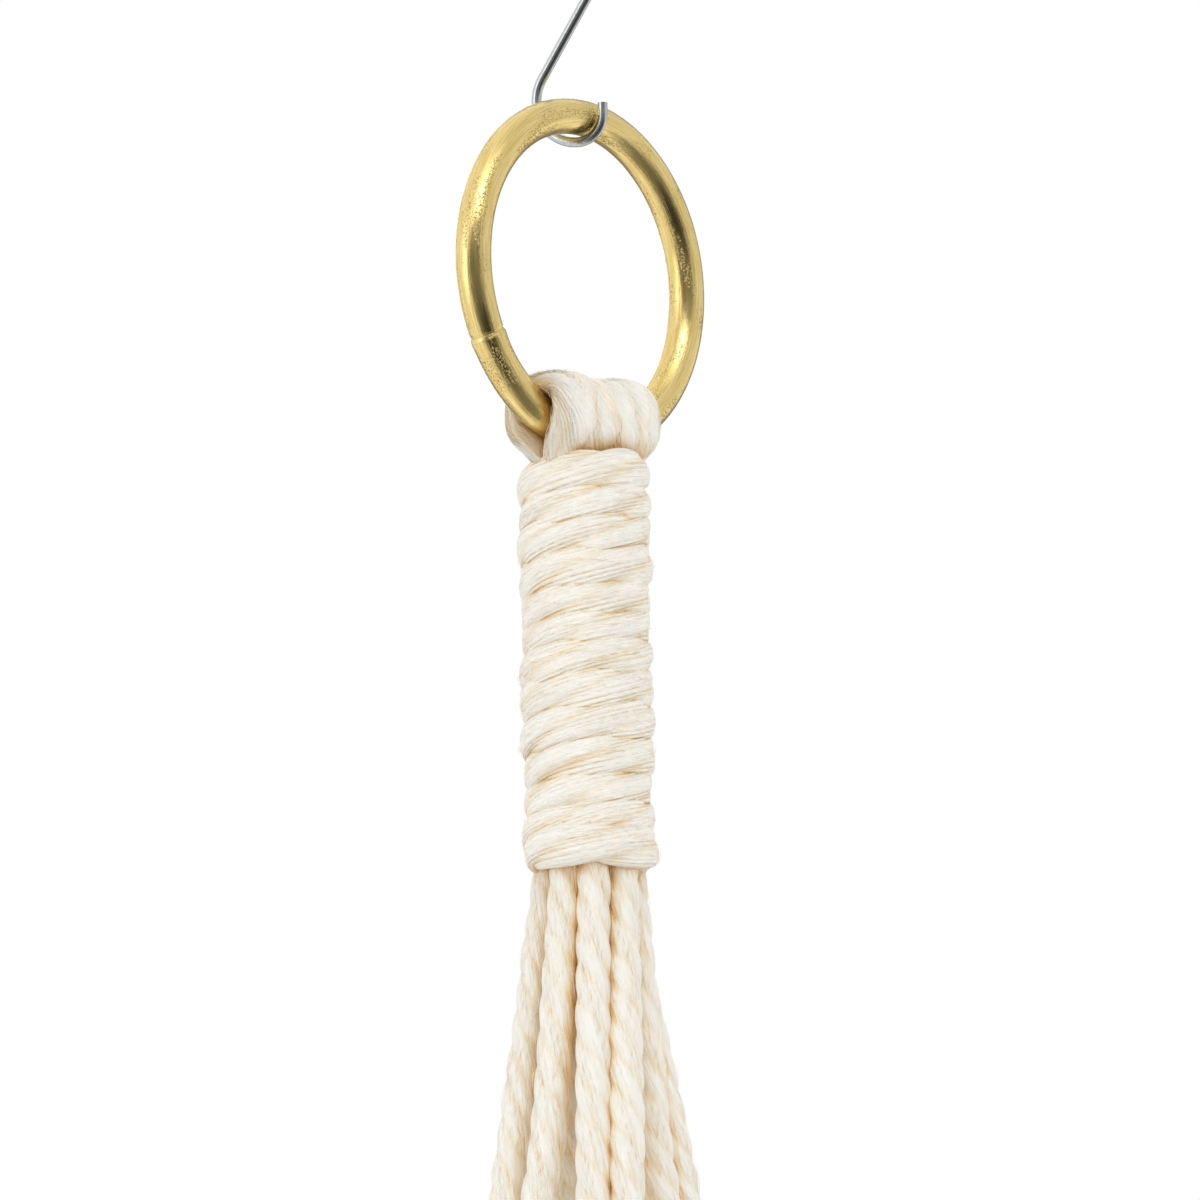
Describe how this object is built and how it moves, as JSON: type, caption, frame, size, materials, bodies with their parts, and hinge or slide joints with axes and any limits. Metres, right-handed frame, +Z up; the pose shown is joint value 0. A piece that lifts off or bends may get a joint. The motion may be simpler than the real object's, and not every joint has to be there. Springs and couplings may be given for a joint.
{
  "type": "hanging macrame planter",
  "caption": "Clay pot held in a knotted net of twisted cotton cord, hung from a round brass ring and a wire hook.",
  "frame": {"origin": "the hang point: the inner top of the hook's upper loop", "axes": "+Z up; the brass ring lies in the XZ plane; the hook's tip points to -Y"},
  "size_m": [0.16, 0.16, 1.0627],
  "materials": {
    "steel_wire": "bright drawn wire",
    "brass": "polished, lightly scratched",
    "cotton_cord": "undyed three-strand twisted cotton, matt",
    "terracotta": "unglazed, matt"
  },
  "bodies": {
    "hook": {"s_hook": "steel_wire"},
    "ring": {"brass_ring": "brass"},
    "hanger": {"cord_loop_1": "cotton_cord", "cord_loop_2": "cotton_cord", "cord_loop_3": "cotton_cord", "cord_loop_4": "cotton_cord", "gathering_wrap": "cotton_cord", "top_bundle": "cotton_cord", "arm_strand_1a": "cotton_cord", "arm_strand_1b": "cotton_cord", "arm_strand_2a": "cotton_cord", "arm_strand_2b": "cotton_cord", "arm_strand_3a": "cotton_cord", "arm_strand_3b": "cotton_cord", "arm_strand_4a": "cotton_cord", "arm_strand_4b": "cotton_cord", "rim_knot_1": "cotton_cord", "rim_knot_2": "cotton_cord", "rim_knot_3": "cotton_cord", "rim_knot_4": "cotton_cord", "net_strand_1a": "cotton_cord", "net_strand_1b": "cotton_cord", "net_strand_2a": "cotton_cord", "net_strand_2b": "cotton_cord", "net_strand_3a": "cotton_cord", "net_strand_3b": "cotton_cord", "net_strand_4a": "cotton_cord", "net_strand_4b": "cotton_cord", "side_knot_1": "cotton_cord", "side_knot_2": "cotton_cord", "side_knot_3": "cotton_cord", "side_knot_4": "cotton_cord", "base_strand_1a": "cotton_cord", "base_strand_1b": "cotton_cord", "base_strand_2a": "cotton_cord", "base_strand_2b": "cotton_cord", "base_strand_3a": "cotton_cord", "base_strand_3b": "cotton_cord", "base_strand_4a": "cotton_cord", "base_strand_4b": "cotton_cord", "bottom_wrap": "cotton_cord", "bottom_bundle": "cotton_cord", "tassel_strand_1": "cotton_cord", "tassel_strand_2": "cotton_cord", "tassel_strand_3": "cotton_cord", "tassel_strand_4": "cotton_cord", "tassel_strand_5": "cotton_cord", "tassel_strand_6": "cotton_cord", "tassel_strand_7": "cotton_cord", "tassel_strand_8": "cotton_cord"},
    "pot": {"plant_pot": "terracotta"}
  },
  "joints": [
    {"name": "ring_swing", "type": "hinge", "parent": "hook", "child": "ring", "pos_m": [0, 0, -0.0272], "axis": [1, 0, 0], "range_deg": [-60, 60]},
    {"name": "hanger_swing", "type": "hinge", "parent": "ring", "child": "hanger", "pos_m": [0, 0, -0.0497], "axis": [0, 1, 0], "range_deg": [-60, 60]},
    {"name": "pot_turn", "type": "hinge", "parent": "hanger", "child": "pot", "pos_m": [0, 0, -0.6856], "axis": [0, 0, 1], "continuous": true}
  ]
}
